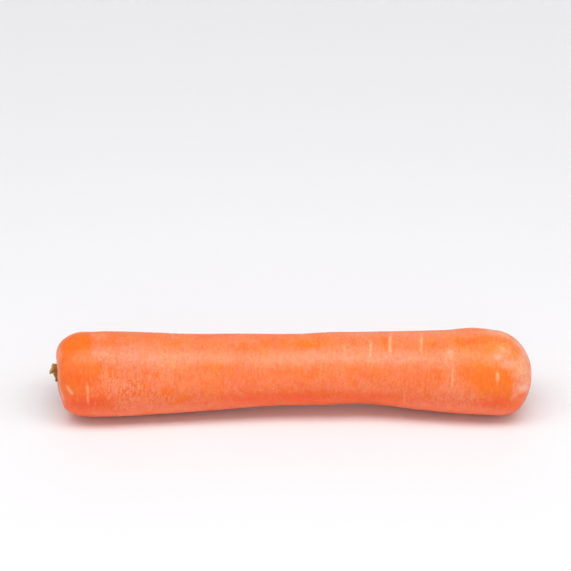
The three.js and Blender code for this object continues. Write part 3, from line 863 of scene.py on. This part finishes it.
def build_root():
    n, m = RINGS.shape[0], AROUND
    crown_pole = P[0].mean(0)
    tip_pole = P[-1].mean(0)
    verts = np.vstack([P.reshape(-1, 3), crown_pole, tip_pole]) / 1000.0
    i = np.arange(n - 1)[:, None]
    j = np.arange(m)[None, :]
    a = (i * m + j).ravel()
    b = (i * m + (j + 1) % m).ravel()
    quads = np.stack([a, b, b + m, a + m], -1)
    fan0 = np.stack([np.full(m, n * m), (j.ravel() + 1) % m, j.ravel()], -1)
    last = (n - 1) * m
    fan1 = np.stack([np.full(m, n * m + 1), last + j.ravel(), last + (j.ravel() + 1) % m], -1)
    # outward faces
    q = verts[quads[len(quads) // 2]]
    centre = verts[: n * m].reshape(n, m, 3)[n // 2].mean(0)
    if np.dot(np.cross(q[1] - q[0], q[2] - q[0]), q.mean(0) - centre) < 0:
        quads = quads[:, ::-1]
        fan0 = fan0[:, ::-1]
        fan1 = fan1[:, ::-1]
    me = bpy.data.meshes.new("carrot_root")
    nq, nf = len(quads), len(fan0) + len(fan1)
    loops = np.concatenate([quads.ravel(), fan0.ravel(), fan1.ravel()])
    starts = np.concatenate([np.arange(nq) * 4, nq * 4 + np.arange(nf) * 3])
    totals = np.concatenate([np.full(nq, 4), np.full(nf, 3)])
    me.vertices.add(len(verts))
    me.vertices.foreach_set("co", verts.astype(np.float32).ravel())
    me.loops.add(len(loops))
    me.loops.foreach_set("vertex_index", loops.astype(np.int32))
    me.polygons.add(nq + nf)
    me.polygons.foreach_set("loop_start", starts.astype(np.int32))
    me.polygons.foreach_set("loop_total", totals.astype(np.int32))
    me.update(calc_edges=True)
    me.validate()
    me.polygons.foreach_set("use_smooth", np.ones(nq + nf, bool))

    for name, field in (
        ("film_and_light", film_and_light),
        ("rubbed_and_sheen", rubbed_and_sheen),
        ("redder_and_shade", redder_and_shade),
        ("amber", amber),
        ("dull", dull),
        ("pale", pale),
        ("dark", dark),
        ("scar", scar),
        ("stain", stain),
        ("rim", rim),
        ("crumb", crumb),
    ):
        at = me.attributes.new(name, "FLOAT", "POINT")
        at.data.foreach_set(
            "value",
            np.r_[field.ravel(), field[0].mean(), field[-1].mean()].astype(np.float32),
        )

    # one map: the body unrolled, and each end as a disc
    ring = np.repeat(np.arange(n), m)
    ring = np.r_[ring, 0, n - 1]
    col = np.r_[np.tile(np.arange(m), n), 0, 0]
    lv = loops
    arc = np.r_[0, np.cumsum(np.hypot(np.diff(RINGS[:, 0]), np.diff(RINGS[:, 1])))] + RINGS[0, 1]
    cut0 = int(np.argmax(RINGS[:, 1] > 12.6))
    cut1 = int(np.argmax(RINGS[:, 0] > LENGTH - 4.6))
    face_of_loop = np.repeat(np.arange(nq + nf), totals)
    face_ring = np.empty(nq + nf, int)
    face_ring[:nq] = np.repeat(np.arange(n - 1), m)
    face_ring[nq : nq + m] = -1
    face_ring[nq + m :] = n
    face_col = np.empty(nq + nf, int)
    face_col[:nq] = np.tile(np.arange(m), n - 1)
    face_col[nq:] = 0
    fr, fc = face_ring[face_of_loop], face_col[face_of_loop]
    r_l, c_l = ring[lv], col[lv].astype(float)
    pole0, pole1 = lv == n * m, lv == n * m + 1
    c_body = np.where((fc == m - 1) & (c_l == 0), m, c_l)
    u = 0.012 + 0.976 * (arc[r_l] - arc[cut0]) / (arc[cut1] - arc[cut0])
    v = 0.012 + 0.690 * c_body / m
    angle = c_l * 2 * math.pi / m
    disc0 = fr < cut0
    rr0 = np.where(pole0, 0.0, arc[r_l]) / arc[cut0] * 0.138
    rr1 = np.where(pole1, 0.0, (arc[-1] + RINGS[-1, 1] - arc[r_l])) / (arc[-1] + RINGS[-1, 1] - arc[cut1]) * 0.138
    disc1 = fr >= cut1
    u = np.where(disc0, 0.155 + rr0 * np.cos(angle), u)
    v = np.where(disc0, 0.855 + rr0 * np.sin(angle), v)
    u = np.where(disc1, 0.455 + rr1 * np.cos(angle), u)
    v = np.where(disc1, 0.855 + rr1 * np.sin(angle), v)
    uv = me.uv_layers.new(name="OFBake", do_init=False)
    uv.data.foreach_set("uv", np.stack([u, v], -1).astype(np.float32).ravel())
    ob = bpy.data.objects.new("carrot_root", me)
    bpy.context.scene.collection.objects.link(ob)
    return ob


# ---------------------------------------------------------------------------------------------------------------
# The cut leaf stalks
# ---------------------------------------------------------------------------------------------------------------
floor_depth = through(CROWN[:7, 1], CROWN[:7, 0])


def build_stalk(name, at, half, turn, proud, lean, slant, seed):
    lean_tip = lean
    sides, steps, cap = 56, 44, 9
    phi = np.arange(sides) * 2 * math.pi / sides
    rs = np.random.RandomState(seed)
    ribs = sum(
        rs.uniform(0.025, 0.06) * np.cos(k * phi + rs.uniform(0, 6.28)) for k in (5, 8, 11)
    )
    verts, tipw, cutw = [], [], []

    def place(t, shrink, sink, fray):
        """A ring at height t (0 foot, 1 cut end), shrunk towards the middle for the cut face."""
        flare = 1 + 0.16 * (1 - t) ** 3 - 0.06 * math.sin(math.pi * min(t, 1))
        flare += 0.10 * smooth(np.array(t), 0.82, 1.0)
        wave = fbm(
            np.stack([np.cos(phi) * 1.2, np.sin(phi) * 1.2, np.full(sides, t * 2.2)], -1), 2, seed
        )
        r = flare * (1 + ribs * (0.4 + 0.6 * t) + 0.07 * wave) * shrink
        a = np.sin(phi) * half[0] * r
        b = np.cos(phi) * half[1] * r
        c, s_ = math.cos(turn), math.sin(turn)
        y = at[0] + a * c - b * s_
        z = at[1] + a * s_ + b * c
        foot = floor_depth(np.hypot(y, z)) + _lean(y, z, 2.0) + 0.35
        cut = -proud + slant[0] * (y - at[0]) + slant[1] * (z - at[1])
        x = foot + (cut - foot) * t + sink + fray
        y = y + lean_tip[0] * (foot - x)
        z = z + lean_tip[1] * (foot - x)
        return np.stack(
            [x - LENGTH / 2, axis_y(0.0) + y, axis_z(0.0) + z], -1
        ) + SHIFT

    rim = fbm(np.stack([np.cos(phi) * 2.6, np.sin(phi) * 2.6, np.full(sides, seed * 0.37)], -1), 3, seed + 3)
    split = -0.34 * np.exp(-(((wrap(phi - rs.uniform(0, 6.28))) / 0.22) ** 2)) * -1
    for k in range(steps):
        t = k / (steps - 1)
        near = smooth(np.array(t), 0.72, 1.0)
        fray = near * (0.30 * rim + split)
        verts.append(place(t, 1.0, 0.0, fray))
        tipw.append(np.full(sides, t))
        cutw.append(np.full(sides, 0.0 if k < steps - 1 else 0.6))
    for k in range(1, cap):
        q = 1 - k / cap
        dish = 0.42 * (1 - q**2.2) * min(half)
        rough = 0.10 * fbm(
            np.stack([np.cos(phi) * q * 3.5, np.sin(phi) * q * 3.5, np.full(sides, seed * 1.1)], -1), 2, seed + 9
        )
        verts.append(place(1.0, q, dish, (0.30 * rim + split) * q**2 + rough))
        tipw.append(np.full(sides, 1.0))
        cutw.append(np.full(sides, 1.0))
    verts = np.array(verts)
    rows = len(verts)
    flat = verts.reshape(-1, 3)
    top = verts[-1].mean(0)
    bottom = verts[0].mean(0)
    flat = np.vstack([flat, bottom, top]) / 1000.0
    faces = []
    for k in range(rows - 1):
        for j in range(sides):
            j2 = (j + 1) % sides
            faces.append((k * sides + j, k * sides + j2, (k + 1) * sides + j2, (k + 1) * sides + j))
    nb, nt = rows * sides, rows * sides + 1
    for j in range(sides):
        j2 = (j + 1) % sides
        faces.append((nb, j2, j))
        faces.append((nt, (rows - 1) * sides + j, (rows - 1) * sides + j2))
    me = bpy.data.meshes.new(name + "_cut")
    me.from_pydata(flat.tolist(), [], faces)
    me.update()
    import bmesh

    bm = bmesh.new()
    bm.from_mesh(me)
    bmesh.ops.recalc_face_normals(bm, faces=bm.faces)
    bm.to_mesh(me)
    bm.free()
    for p in me.polygons:
        p.use_smooth = True
    for label, rowsv, b0, t0 in (("tipw", tipw, 0.0, 1.0), ("cutw", cutw, 0.0, 1.0)):
        att = me.attributes.new(label, "FLOAT", "POINT")
        att.data.foreach_set("value", np.r_[np.array(rowsv).ravel(), b0, t0].astype(np.float32))
    ob = bpy.data.objects.new(name + "_cut", me)
    bpy.context.scene.collection.objects.link(ob)
    return ob


_lean = lean


# ---------------------------------------------------------------------------------------------------------------
# Materials
# ---------------------------------------------------------------------------------------------------------------
def lin(r, g, b):
    def one(c):
        c = c / 255.0
        return c / 12.92 if c <= 0.04045 else ((c + 0.055) / 1.055) ** 2.4

    return (one(r), one(g), one(b), 1.0)


class Nodes:
    """Small helper that writes a node tree."""

    def __init__(self, name):
        self.mat = bpy.data.materials.new(name)
        self.mat.use_nodes = True
        self.t = self.mat.node_tree
        self.t.nodes.clear()
        self.out = self.t.nodes.new("ShaderNodeOutputMaterial")
        self.bsdf = self.t.nodes.new("ShaderNodeBsdfPrincipled")
        self.t.links.new(self.bsdf.outputs[0], self.out.inputs[0])
        self.coord = self.t.nodes.new("ShaderNodeTexCoord").outputs["Object"]

    def link(self, a, b):
        self.t.links.new(a, b)

    def put(self, socket, value):
        if hasattr(value, "is_output"):
            self.link(value, socket)
        else:
            socket.default_value = value

    def mm(self, sx, sy=None, sz=None):
        """Object coordinates in features: sx features per mm along X, and so on."""
        n = self.t.nodes.new("ShaderNodeVectorMath")
        n.operation = "MULTIPLY"
        self.link(self.coord, n.inputs[0])
        sy = sx if sy is None else sy
        sz = sy if sz is None else sz
        n.inputs[1].default_value = (sx * 1000, sy * 1000, sz * 1000)
        return n.outputs[0]

    def noise(self, vector, detail=3.0, rough=0.55, lac=2.0, distort=0.0, kind="FBM"):
        n = self.t.nodes.new("ShaderNodeTexNoise")
        n.noise_dimensions = "3D"
        n.noise_type = kind
        self.link(vector, n.inputs["Vector"])
        n.inputs["Scale"].default_value = 1.0
        n.inputs["Detail"].default_value = detail
        n.inputs["Roughness"].default_value = rough
        n.inputs["Lacunarity"].default_value = lac
        n.inputs["Distortion"].default_value = distort
        return n.outputs["Fac"]

    def warped(self, sx, sy):
        """Object coordinates as in mm(), pushed about by noise so that cells lose their straight edges."""
        n = self.t.nodes.new("ShaderNodeTexNoise")
        n.noise_dimensions = "3D"
        self.link(self.mm(0.9), n.inputs["Vector"])
        n.inputs["Scale"].default_value = 1.0
        n.inputs["Detail"].default_value = 3.0
        m = self.t.nodes.new("ShaderNodeVectorMath")
        m.operation = "MULTIPLY_ADD"
        self.link(n.outputs["Color"], m.inputs[0])
        m.inputs[1].default_value = (1.1, 1.1, 1.1)
        self.link(self.mm(sx, sy, sy), m.inputs[2])
        return m.outputs[0]

    def voronoi(self, vector, feature="F1", random=1.0):
        n = self.t.nodes.new("ShaderNodeTexVoronoi")
        n.feature = feature
        self.link(vector, n.inputs["Vector"])
        n.inputs["Scale"].default_value = 1.0
        n.inputs["Randomness"].default_value = random
        return n.outputs["Distance"]

    def attr(self, name):
        n = self.t.nodes.new("ShaderNodeAttribute")
        n.attribute_type = "GEOMETRY"
        n.attribute_name = name
        return n.outputs["Fac"]

    def math(self, op, a, b=0.0, c=None, clamp=False):
        n = self.t.nodes.new("ShaderNodeMath")
        n.operation = op
        n.use_clamp = clamp
        self.put(n.inputs[0], a)
        self.put(n.inputs[1], b)
        if c is not None:
            self.put(n.inputs[2], c)
        return n.outputs[0]

    def span(self, value, lo, hi, to_lo=0.0, to_hi=1.0, smooth=True):
        n = self.t.nodes.new("ShaderNodeMapRange")
        n.interpolation_type = "SMOOTHSTEP" if smooth else "LINEAR"
        n.clamp = True
        self.link(value, n.inputs["Value"])
        n.inputs["From Min"].default_value = lo
        n.inputs["From Max"].default_value = hi
        n.inputs["To Min"].default_value = to_lo
        n.inputs["To Max"].default_value = to_hi
        return n.outputs["Result"]

    def mix(self, fac, a, b, blend="MIX"):
        n = self.t.nodes.new("ShaderNodeMix")
        n.data_type = "RGBA"
        n.blend_type = blend
        n.clamp_factor = True
        self.put(n.inputs[0], fac)
        self.put(n.inputs[6], a)
        self.put(n.inputs[7], b)
        return n.outputs[2]

    def bump(self, height, strength, distance):
        n = self.t.nodes.new("ShaderNodeBump")
        n.inputs["Strength"].default_value = strength
        n.inputs["Distance"].default_value = distance
        self.link(height, n.inputs["Height"])
        return n


def skin_material():
    k = Nodes("carrot_skin")
    film_and_light_a, pale_a, dark_a = k.attr("film_and_light"), k.attr("pale"), k.attr("dark")
    scar_a, stain_a, rim_a = k.attr("scar"), k.attr("stain"), k.attr("rim")

    grain = k.noise(k.mm(1.25, 1.0), 4.0, 0.68)  # fine mottling of the film
    fibre = k.noise(k.mm(1.3, 0.26), 3.0, 0.6)  # faint dashes round the root
    cloud = k.noise(k.mm(0.16, 0.13), 3.0, 0.55)
    blotch = k.noise(k.mm(0.46, 0.36), 3.0, 0.6)

    # flesh colour under the film: two oranges, redder and yellower in clouds
    base = k.mix(k.span(cloud, 0.36, 0.64), lin(250, 109, 23), lin(252, 119, 17))
    base = k.mix(k.span(blotch, 0.42, 0.64, 0.0, 0.5), base, lin(251, 112, 30))
    base = k.mix(k.span(fibre, 0.50, 0.72, 0.0, 0.30), base, lin(244, 98, 14))
    # painted shade: redder flesh on the underside and along the bottom edge
    base = k.mix(k.attr("redder_and_shade"), base, lin(255, 84, 9))
    base = k.mix(k.attr("amber"), base, lin(253, 124, 10))

    # the dried film, carrying painted highlight bands and, where thinned low down, painted shade
    film_and_light_mix = k.math("MULTIPLY_ADD", grain, 0.60, film_and_light_a)
    film_and_light_mix = k.math("MULTIPLY_ADD", fibre, 0.42, film_and_light_mix)
    film_and_light_mix = k.math("MULTIPLY_ADD", blotch, 0.30, film_and_light_mix)
    film_and_light_mix = k.math("SUBTRACT", film_and_light_mix, 0.66)
    # flakes: where the film is crumbly, flesh shows in the cracks between them
    crack = k.span(k.voronoi(k.warped(0.75, 0.36), "DISTANCE_TO_EDGE"), 0.02, 0.20, 1.0, 0.0)
    crack = k.math("MULTIPLY", crack, k.span(k.noise(k.mm(0.6, 0.5), 2.0, 0.5), 0.38, 0.58))
    crack = k.math("MULTIPLY", crack, k.attr("crumb"))
    film_and_light_mix = k.math("MULTIPLY_ADD", crack, -0.28, film_and_light_mix)
    film_and_light_mix = k.span(film_and_light_mix, 0.02, 1.0, 0.0, 0.86, smooth=False)
    film_and_light_mix = k.math("MULTIPLY", film_and_light_mix, k.span(film_and_light_a, 0.0, 0.16))
    film_and_light_mix = k.math("MAXIMUM", film_and_light_mix, k.math("MULTIPLY", rim_a, k.span(grain, 0.35, 0.65, 0.16, 0.46)))
    base = k.mix(k.math("MULTIPLY", crack, 0.30), base, lin(220, 92, 32))
    col = k.mix(film_and_light_mix, base, k.mix(k.attr("amber"), lin(255, 172, 146), lin(255, 186, 124)))

    # fine bright crumbs and dark specks in the film
    crumbs = k.noise(k.mm(1.9, 1.5), 2.0, 0.6)
    crumb = k.math("MULTIPLY", k.span(crumbs, 0.56, 0.72, 0.0, 0.55), k.span(film_and_light_a, 0.18, 0.75))
    col = k.mix(crumb, col, lin(255, 188, 150))
    spot = k.noise(k.mm(1.45, 1.1), 2.0, 0.5)
    spot2 = k.noise(k.mm(0.6, 0.45), 2.0, 0.5)
    speck = k.math("MULTIPLY", k.span(spot, 0.59, 0.71), k.span(spot2, 0.46, 0.58))
    speck = k.math("MULTIPLY", speck, k.span(film_and_light_a, 0.08, 0.42, 0.05, 0.64))
    col = k.mix(speck, col, lin(192, 90, 44))

    # pale edges of the flakes, and a fine unevenness of tone over all the skin
    flake = k.math("MULTIPLY", k.span(k.noise(k.mm(1.15, 0.42), 2.0, 0.6, distort=0.5), 0.53, 0.68), k.attr("crumb"))
    col = k.mix(k.math("MULTIPLY", flake, 0.30), col, lin(255, 184, 144))
    tone = k.span(k.noise(k.mm(1.45, 1.15), 4.0, 0.72), 0.36, 0.64, 0.0, 0.38)
    col = k.mix(tone, col, (0.92, 0.76, 0.70, 1.0), "MULTIPLY")
    fleck = k.span(k.noise(k.mm(0.80, 0.44), 2.0, 0.55), 0.36, 0.64)
    fleck = k.mix(fleck, (0.99, 0.935, 0.965, 1.0), (1.0, 1.105, 1.045, 1.0))
    col = k.mix(0.98, col, fleck, "MULTIPLY")
    # the film is duller where it is thick and crumbly
    col = k.mix(k.math("MULTIPLY", k.attr("dull"), k.span(cloud, 0.3, 0.6, 0.6, 1.0)), col, (0.90, 0.84, 0.90, 1.0), "MULTIPLY")

    # rubbed skin, whitened in short streaks, with painted highlights where the lamp's highlight and the outlines are
    worn_and_sheen = k.math("MULTIPLY", k.attr("rubbed_and_sheen"), k.span(k.noise(k.mm(1.1, 0.5), 3.0, 0.6), 0.30, 0.58, 0.45, 1.0))
    col = k.mix(k.math("MULTIPLY", worn_and_sheen, 0.88), col, lin(255, 182, 157))

    # marks
    broken = k.span(k.noise(k.mm(1.2, 0.9), 2.0, 0.6), 0.30, 0.52, 0.6, 1.0)
    pale_m = k.math("MULTIPLY", k.span(pale_a, 0.03, 1.0, 0.0, 0.96, smooth=False), broken)
    col = k.mix(pale_m, col, lin(255, 200, 148))
    dark_m = k.span(dark_a, 0.05, 1.0, 0.0, 0.66)
    col = k.mix(dark_m, col, lin(158, 76, 30))

    # the crown's cork: stain over the rim, then brown with green and straw in the hollow
    rust = k.noise(k.mm(0.9, 0.9), 4.0, 0.65)
    cork = k.mix(k.span(rust, 0.36, 0.62), lin(80, 46, 18), lin(156, 108, 50))
    green = k.math("MULTIPLY", k.span(k.noise(k.mm(0.5, 0.5), 2.0, 0.5), 0.48, 0.62, 0.0, 0.7), k.span(stain_a, 0.0, 0.3))
    cork = k.mix(green, cork, lin(118, 112, 42))
    st = k.math("MULTIPLY", stain_a, k.span(rust, 0.30, 0.60, 0.45, 1.0))
    col = k.mix(k.math("MULTIPLY", st, 0.92), col, lin(156, 92, 50))
    col = k.mix(k.span(scar_a, 0.15, 0.8), col, cork)

    k.link(col, k.bsdf.inputs["Base Color"])

    rough = k.span(film_and_light_mix, 0.0, 0.55, 0.38, 0.56, smooth=False)
    rough = k.math("MULTIPLY_ADD", k.math("SUBTRACT", grain, 0.5), 0.12, rough)
    rough = k.math("MAXIMUM", rough, k.span(scar_a, 0.1, 0.7, 0.0, 0.88))
    rough = k.math("MAXIMUM", rough, k.span(pale_a, 0.2, 0.9, 0.0, 0.6), clamp=True)
    k.link(rough, k.bsdf.inputs["Roughness"])

    fine = k.noise(k.mm(4.2, 2.6), 3.0, 0.6)
    h = k.math("MULTIPLY_ADD", fibre, 0.55, k.math("MULTIPLY", fine, 0.30))
    h = k.math("MULTIPLY_ADD", grain, k.span(film_and_light_a, 0.1, 0.8, 0.15, 0.8), h)
    h = k.math("MULTIPLY_ADD", rust, k.span(scar_a, 0.1, 0.8, 0.0, 2.6), h)
    b = k.bump(h, 0.55, 0.00016)
    k.link(b.outputs[0], k.bsdf.inputs["Normal"])

    k.bsdf.inputs["Subsurface Weight"].default_value = 0.25
    k.bsdf.inputs["Subsurface Radius"].default_value = (1.0, 0.32, 0.10)
    k.bsdf.inputs["Subsurface Scale"].default_value = 0.0026
    k.bsdf.inputs["IOR"].default_value = 1.46
    return k.mat


def stalk_material():
    k = Nodes("dry_stalk")
    tip_a, cut_a = k.attr("tipw"), k.attr("cutw")
    strand = k.noise(k.mm(0.35, 3.4), 3.0, 0.6)
    patchy = k.noise(k.mm(0.9, 1.1), 3.0, 0.6)
    grit = k.noise(k.mm(4.0, 4.0), 3.0, 0.6)
    col = k.mix(k.span(strand, 0.36, 0.64), lin(150, 88, 8), lin(204, 142, 44))
    col = k.mix(k.span(patchy, 0.48, 0.68, 0.0, 0.6), col, lin(178, 152, 76))
    col = k.mix(k.span(patchy, 0.32, 0.46, 0.7, 0.0), col, lin(112, 64, 14))
    col = k.mix(k.span(tip_a, 0.80, 1.0, 0.0, 0.5), col, lin(206, 164, 100))
    heart = k.mix(k.span(grit, 0.38, 0.62), lin(150, 108, 52), lin(226, 202, 150))
    col = k.mix(k.span(cut_a, 0.3, 1.0, 0.0, 0.9), col, heart)
    col = k.mix(k.span(tip_a, 0.0, 0.22, 0.7, 0.0), col, lin(84, 50, 20))
    k.link(col, k.bsdf.inputs["Base Color"])
    k.link(k.span(patchy, 0.3, 0.7, 0.68, 0.92), k.bsdf.inputs["Roughness"])
    h = k.math("MULTIPLY_ADD", strand, 1.0, k.math("MULTIPLY", grit, 0.5))
    b = k.bump(h, 0.8, 0.00022)
    k.link(b.outputs[0], k.bsdf.inputs["Normal"])
    k.bsdf.inputs["Subsurface Weight"].default_value = 0.08
    k.bsdf.inputs["Subsurface Radius"].default_value = (1.0, 0.6, 0.3)
    k.bsdf.inputs["Subsurface Scale"].default_value = 0.001
    return k.mat


def floor_material():
    k = Nodes("studio_floor")
    k.bsdf.inputs["Base Color"].default_value = (0.89, 0.897, 0.922, 1)
    k.bsdf.inputs["Roughness"].default_value = 0.55
    k.bsdf.inputs["Specular IOR Level"].default_value = 0.25
    # far from the carrot, where the lamps do not reach, the floor keeps the backdrop's tone
    near = k.t.nodes.new("ShaderNodeVectorMath")
    near.operation = "ADD"
    near.inputs[1].default_value = (0.0, 0.42, 0.0)
    k.link(k.coord, near.inputs[0])
    far = k.t.nodes.new("ShaderNodeVectorMath")
    far.operation = "LENGTH"
    k.link(near.outputs[0], far.inputs[0])
    # less so under the lamp behind the carrot
    lamp = k.t.nodes.new("ShaderNodeVectorMath")
    lamp.operation = "ADD"
    lamp.inputs[1].default_value = (0.0, -1.3, 0.0)
    k.link(k.coord, lamp.inputs[0])
    lit = k.t.nodes.new("ShaderNodeVectorMath")
    lit.operation = "LENGTH"
    k.link(lamp.outputs[0], lit.inputs[0])
    glow = k.span(far.outputs["Value"], 0.58, 1.9, 0.0, 0.56)
    k.bsdf.inputs["Emission Color"].default_value = (1.0, 1.0, 1.0, 1)
    k.link(
        k.math("MULTIPLY", glow, k.span(lit.outputs["Value"], 0.3, 1.05, 0.68, 1.0)),
        k.bsdf.inputs["Emission Strength"],
    )
    return k.mat


def backdrop_material():
    k = Nodes("studio_backdrop")
    split = k.t.nodes.new("ShaderNodeSeparateXYZ")
    k.link(k.coord, split.inputs[0])
    glow = k.t.nodes.new("ShaderNodeEmission")
    glow.inputs["Color"].default_value = (0.985, 0.99, 1.0, 1)
    k.link(k.span(split.outputs["Z"], 0.0, 3.0, 0.86, 0.66), glow.inputs["Strength"])
    k.link(glow.outputs[0], k.out.inputs[0])
    k.t.nodes.remove(k.bsdf)
    return k.mat


root = build_root()
root.data.materials.append(skin_material())
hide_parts("root")
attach(root, "root")

stalk_mat = stalk_material()
for number, (name, spec) in enumerate(STALKS.items()):
    piece = build_stalk(name, seed=50 + number * 7, **spec)
    piece.data.materials.append(stalk_mat)
    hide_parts(name)
    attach(piece, "root")

# ---------------------------------------------------------------------------------------------------------------
# Floor, light and camera
# ---------------------------------------------------------------------------------------------------------------
me = bpy.data.meshes.new("floor")
me.from_pydata(
    [(-4, -4, -0.00005), (4, -4, -0.00005), (4, 4, -0.00005), (-4, 4, -0.00005)], [], [(0, 1, 2, 3)]
)
floor = bpy.data.objects.new("floor", me)
bpy.context.scene.collection.objects.link(floor)
floor.data.materials.append(floor_material())

# a pale round wall behind everything, which only the camera sees
wall_turns, wall_profile = 96, [(3.7, -0.001), (3.8, 0.35), (3.85, 1.2), (3.7, 2.2), (3.1, 3.2), (2.0, 3.9), (0.6, 4.2)]
wall_points = [
    (r * math.cos(a), r * math.sin(a), z)
    for r, z in wall_profile
    for a in (k * 2 * math.pi / wall_turns for k in range(wall_turns))
]
wall_faces = [
    (i * wall_turns + j, i * wall_turns + (j + 1) % wall_turns, (i + 1) * wall_turns + (j + 1) % wall_turns, (i + 1) * wall_turns + j)
    for i in range(len(wall_profile) - 1)
    for j in range(wall_turns)
]
wall_faces.append(tuple((len(wall_profile) - 1) * wall_turns + j for j in range(wall_turns)))
me = bpy.data.meshes.new("backdrop")
me.from_pydata(wall_points, [], wall_faces)
me.polygons.foreach_set("use_smooth", np.ones(len(me.polygons), bool))
backdrop = bpy.data.objects.new("backdrop", me)
bpy.context.scene.collection.objects.link(backdrop)
backdrop.data.materials.append(backdrop_material())
backdrop.visible_diffuse = False
backdrop.visible_glossy = False
backdrop.visible_transmission = False
backdrop.visible_volume_scatter = False
backdrop.visible_shadow = False


def softbox(name, place, aim, wide, facing_down, watts, colour=(1, 1, 1)):
    data = bpy.data.lights.new(name, "AREA")
    data.shape = "RECTANGLE"
    data.size, data.size_y = wide, facing_down
    data.energy = watts
    data.color = colour
    ob = bpy.data.objects.new(name, data)
    ob.location = place
    ob.rotation_euler = (Vector(aim) - Vector(place)).to_track_quat("-Z", "Y").to_euler()
    bpy.context.scene.collection.objects.link(ob)
    return ob


softbox("overhead", (0.0, -0.24, 0.95), (0, 0, 0.01), 1.5, 0.42, 8.9, (1.0, 0.985, 0.975))
softbox("front_fill", (0.15, -1.75, 0.88), (0, 0, 0.0), 1.8, 1.0, 4.4, (1.0, 0.99, 0.985))
softbox("left_fill", (-1.3, -0.35, 0.75), (0, 0, 0.0), 0.9, 0.7, 2.5, (1.0, 0.99, 0.985))
softbox("right_fill", (1.3, -0.35, 0.75), (0, 0, 0.0), 0.9, 0.7, 3.0, (1.0, 0.99, 0.985))

# from behind, so that the far side is not dull; kept out of reflections, or it would gleam along the top edge
back_fill = softbox("back_fill", (0.0, 1.7, 0.85), (0, 0, 0.0), 1.6, 0.9, 3.3, (1.0, 0.99, 0.985))
back_fill.visible_glossy = False

world = bpy.data.worlds.new("studio")
world.use_nodes = True
bg = world.node_tree.nodes.get("Background") or world.node_tree.nodes.new("ShaderNodeBackground")
bg.inputs[0].default_value = (1.0, 0.99, 0.995, 1)
bg.inputs[1].default_value = 0.285
bpy.context.scene.world = world
bpy.context.scene.view_settings.view_transform = "Standard"
bpy.context.scene.view_settings.look = "None"

cam_data = bpy.data.cameras.new("camera")
cam_data.sensor_fit = "HORIZONTAL"
cam_data.sensor_width = 36.0
cam_data.lens = 36.0 * (DISTANCE / PX) / 571.0
cam_data.clip_start, cam_data.clip_end = 0.05, 50
cam = bpy.data.objects.new("camera", cam_data)
cam.location = Vector(EYE / 1000.0)
cam.rotation_euler = Vector(AHEAD).to_track_quat("-Z", "Y").to_euler()
bpy.context.scene.collection.objects.link(cam)
bpy.context.scene.camera = cam
